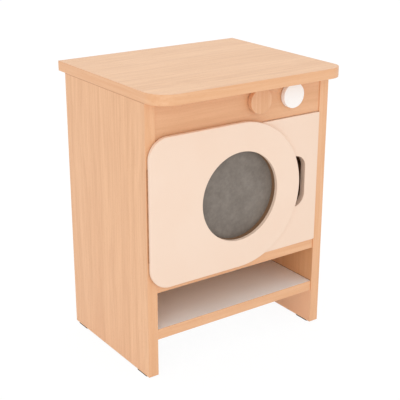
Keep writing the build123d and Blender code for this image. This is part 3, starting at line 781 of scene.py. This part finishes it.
# %% Screw shapes
def grow_rings(rings, segments=28):
    """A closed mesh grown from a circle, whose edge is extruded from one ring to the next.

    A ring is a height and a function that gives a radius for every angle.
    """
    shape = bmesh.new()
    loop = bmesh.ops.create_circle(shape, cap_ends=True, radius=1.0, segments=segments)["verts"]
    edges = list(shape.edges)
    for number, (height, radius_at) in enumerate(rings):
        if number > 0:
            grown = bmesh.ops.extrude_edge_only(shape, edges=edges)["geom"]
            loop = [part for part in grown if isinstance(part, bmesh.types.BMVert)]
            edges = [part for part in grown if isinstance(part, bmesh.types.BMEdge)]
        for vert in loop:
            angle = atan2(vert.co.y, vert.co.x)
            radius = radius_at(angle)
            vert.co = radius * cos(angle), radius * sin(angle), height
    bmesh.ops.contextual_create(shape, geom=edges)
    bmesh.ops.recalc_face_normals(shape, faces=shape.faces)
    return shape


def plain(radius):
    """A ring of one radius all round."""
    return lambda angle: radius


thread_pitch, ridge_sharpness, rings_per_turn = 0.0011, 3.2, 5


def thread_ring(height, core, crest):
    """A ring of a thread: at every angle the radius is that of a ridge climbing one pitch a turn."""

    def radius_at(angle):
        phase = (height / thread_pitch - angle / (2 * pi)) % 1.0
        return core + (crest - core) * max(0.0, 1.0 - abs(phase - 0.5) * ridge_sharpness)

    return radius_at


def carve(target, cutter):
    """A new mesh: the target with the cutter taken out of it."""
    bodies = []
    for shape in (target, cutter):
        mesh = bpy.data.meshes.new("carving")
        shape.to_mesh(mesh)
        shape.free()
        body = bpy.data.objects.new("carving", mesh)
        bpy.context.scene.collection.objects.link(body)
        bodies.append(body)
    cut = bodies[0].modifiers.new("recess", "BOOLEAN")
    cut.operation, cut.object, cut.solver = "DIFFERENCE", bodies[1], "EXACT"
    cut.use_self = True  # the cutter's two wedges cross
    bpy.context.view_layer.update()
    finished = bodies[0].evaluated_get(bpy.context.evaluated_depsgraph_get())
    result = bpy.data.meshes.new_from_object(finished)
    for body in bodies:
        bpy.data.objects.remove(body)
    return result


def cross_cutter(reach, width, depth):
    """Two crossed wedges, narrower at the bottom, that reach down from above a head at z = 0."""
    shape = bmesh.new()
    for turn in (0.0, pi / 2):
        made = bmesh.ops.create_cube(shape, size=1.0)["verts"]
        for vert in made:
            deep = vert.co.z < 0
            taper = 0.45 if deep else 1.0
            vert.co.x *= 2 * reach * taper
            vert.co.y *= width * (0.8 if deep else 1.0)
            vert.co.z = -depth if deep else depth
        bmesh.ops.rotate(shape, verts=made, cent=(0, 0, 0), matrix=Matrix.Rotation(turn, 3, "Z"))
    return shape


def make_screw_mesh(head, shank, length, head_height, countersunk):
    """One screw, its head's top at z = 0 and its point at -length.

    All lengths are in metres, and head and shank are radii.
    """
    core, point_length = shank * 0.72, 0.0022
    neck = -head_height
    rings = [(-length, plain(shank * 0.08)), (-length + point_length * 0.6, plain(core * 0.7))]
    height = -length + point_length
    while height < neck - thread_pitch:
        rings.append((height, thread_ring(height, core, shank)))
        height += thread_pitch / rings_per_turn
    rings += [(neck - thread_pitch * 0.8, plain(core)), (neck, plain(shank * 0.97))]
    if countersunk:
        rim = head * 0.06
        rings += [(-rim, plain(head)), (-rim * 0.3, plain(head * 0.985)), (0.0, plain(head * 0.95))]
    else:
        shoulder, dome_steps = neck * 0.8, 5
        rings += [(neck, plain(head * 0.97)), (shoulder, plain(head))]
        for step in range(1, dome_steps + 1):
            angle = step / dome_steps * pi / 2
            rings.append((shoulder * (1 - sin(angle)), plain(head * (0.55 + 0.45 * cos(angle)))))
    recess_depth = head_height * (0.9 if countersunk else 0.75)
    mesh = carve(grow_rings(rings), cross_cutter(head * 0.52, head * 0.2, recess_depth))
    for polygon in mesh.polygons:
        polygon.use_smooth = True
    mesh.set_sharp_from_angle(angle=radians(35))
    return mesh


# %% Screws in their places
def islands(node):
    """The lowest and highest corners of each separate solid in a CAD node."""
    shape = bmesh.new()
    shape.from_mesh(nodes[node].data)
    bmesh.ops.remove_doubles(shape, verts=shape.verts, dist=1e-6)
    waiting, boxes = set(shape.verts), []
    while waiting:
        reached = [waiting.pop()]
        solid = []
        while reached:
            vert = reached.pop()
            solid.append(vert.co.copy())
            for edge in vert.link_edges:
                other = edge.other_vert(vert)
                if other in waiting:
                    waiting.remove(other)
                    reached.append(other)
        low = Vector([min(place[axis] for place in solid) for axis in range(3)])
        high = Vector([max(place[axis] for place in solid) for axis in range(3)])
        boxes.append((low, high))
    shape.free()
    return sorted(boxes, key=lambda box: tuple(box[0]))


first_turn, next_turn = 0.7, 1.9  # radians: no two recesses end up alike


def place_screws(node, body, faces, head, shank, head_height, countersunk):
    """One piece that stands for a node of screws whose heads face along an axis, such as "+Y"."""
    sign, axis = (1 if faces[0] == "+" else -1), "XYZ".index(faces[1])
    outwards = Vector([sign if number == axis else 0 for number in range(3)])
    upright = outwards.to_track_quat("Z", "Y").to_matrix().to_4x4()
    joined = bmesh.new()
    for number, (low, high) in enumerate(islands(node)):
        length = high[axis] - low[axis]
        if number == 0:
            one = make_screw_mesh(head, shank, length, head_height, countersunk)
        seat = (low + high) / 2 + outwards * (length / 2)
        turn = upright @ Matrix.Rotation(first_turn + next_turn * number, 4, "Z")
        before = len(joined.verts)
        joined.from_mesh(one)
        joined.verts.ensure_lookup_table()
        bmesh.ops.transform(joined, matrix=Matrix.Translation(seat) @ turn, verts=joined.verts[before:])
    mesh = bpy.data.meshes.new(f"{node}_threaded")
    joined.to_mesh(mesh)
    joined.free()
    piece = bpy.data.objects.new(f"{node}_threaded", mesh)
    bpy.context.scene.collection.objects.link(piece)
    mesh.materials.append(nodes[node].material_slots[0].material)
    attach(piece, body)
    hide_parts(node)
    return piece


# For each node: its body, the way its heads face, the radii of head and shank, the head's height,
# and whether it is countersunk.
screw_plan = {
    "back_panel_screws": ("cabinet", "+Y", 0.0035, 0.00175, 0.0020, False),
    "pane_clip_screws": ("door", "+Y", 0.0035, 0.0013, 0.0020, False),
    "catch_screws": ("cabinet", "-X", 0.0026, 0.0013, 0.0020, False),
    "front_plate_screws": ("door", "+Y", 0.0035, 0.00175, 0.0020, True),
    "strike_screw": ("door", "+Y", 0.0023, 0.0013, 0.0011, True),
    "hinge_screws_fixed": ("cabinet", "-Y", 0.0023, 0.0013, 0.0011, True),
    "hinge_screws_door": ("door", "+Y", 0.0023, 0.0013, 0.0011, True),
}
for node, plan in screw_plan.items():
    piece = place_screws(node, *plan)
    assert piece.data.polygons, f"{piece.name} is empty"
    print(piece.name, len(piece.data.polygons), "faces")

# %% [markdown]
# ## Light and floor
#
# The photograph is lit almost evenly from all sides. A white world at a strength just under one
# does that, with one broad lamp that lets the front read a little brighter than the hollows. The
# floor is pale and reflects that light from below.
#
# The background has to be white without more light on the object. The Light Path node tells which
# rays come from the camera, or by way of a mirror or glass, and only for those is the world at one
# and the floor mostly a white glow. What is left of the floor's own shading carries a trace of the
# cabinet's shadow.

# %% World and lamp
world_strength = 0.93
floor_glow, floor_glow_strength = 0.90, 1.03
floor_tone, floor_radius = 0.97, 6.0
lamp_place, lamp_target, lamp_size, lamp_power = (-1.7, -2.3, 1.1), (0.0, 0.0, 0.27), 2.5, 12.5
white = (1.0, 1.0, 1.0, 1.0)


def seen_rays(tree):
    """1 for a ray from the camera, or from it by way of a mirror or glass, and 0 for others."""
    paths = tree.nodes.new("ShaderNodeLightPath")
    seen = math_node(tree, "MAXIMUM", paths.outputs["Is Camera Ray"], paths.outputs["Is Glossy Ray"])
    return math_node(tree, "MAXIMUM", seen, paths.outputs["Is Transmission Ray"])


def make_world():
    world = bpy.data.worlds.new("studio_world")
    bpy.context.scene.world = world
    world.use_nodes = True
    tree = world.node_tree
    tree.nodes.clear()
    more = math_node(tree, "MULTIPLY", seen_rays(tree), 1.0 - world_strength)
    strength = math_node(tree, "ADD", more, world_strength)
    background = add_node(tree, "ShaderNodeBackground", {"Color": white, "Strength": strength})
    output = tree.nodes.new("ShaderNodeOutputWorld")
    tree.links.new(background.outputs[0], output.inputs["Surface"])


def make_lamp(name, place, target, size, power):
    """A square area lamp that looks at a point."""
    data = bpy.data.lights.new(name, "AREA")
    data.size, data.energy = size, power
    lamp = bpy.data.objects.new(name, data)
    lamp.location = place
    lamp.rotation_mode = "QUATERNION"
    lamp.rotation_quaternion = (Vector(target) - Vector(place)).to_track_quat("-Z", "Y")
    bpy.context.scene.collection.objects.link(lamp)


def make_floor():
    """A pale floor that carries the bounce light and a trace of shadow."""
    shape = bmesh.new()
    bmesh.ops.create_circle(shape, cap_ends=True, segments=96, radius=floor_radius)
    mesh = bpy.data.meshes.new("studio_floor")
    shape.to_mesh(mesh)
    shape.free()
    floor = bpy.data.objects.new("studio_floor", mesh)
    bpy.context.scene.collection.objects.link(floor)
    material, tree, shader = start_material("pale_floor", Roughness=0.9, Specular_IOR_Level=0.0)
    shader.inputs["Base Color"].default_value = (floor_tone, floor_tone, floor_tone, 1.0)
    glow = add_node(tree, "ShaderNodeEmission", {"Color": white, "Strength": floor_glow_strength})
    share = math_node(tree, "MULTIPLY", seen_rays(tree), floor_glow)
    mixed = add_node(tree, "ShaderNodeMixShader", {0: share, 1: shader.outputs[0], 2: glow.outputs[0]})
    tree.links.new(mixed.outputs[0], tree.nodes["Material Output"].inputs["Surface"])
    mesh.materials.append(material)


make_world()
make_floor()
make_lamp("soft_front_lamp", lamp_place, lamp_target, lamp_size, lamp_power)
bpy.context.scene.view_settings.view_transform = "Standard"
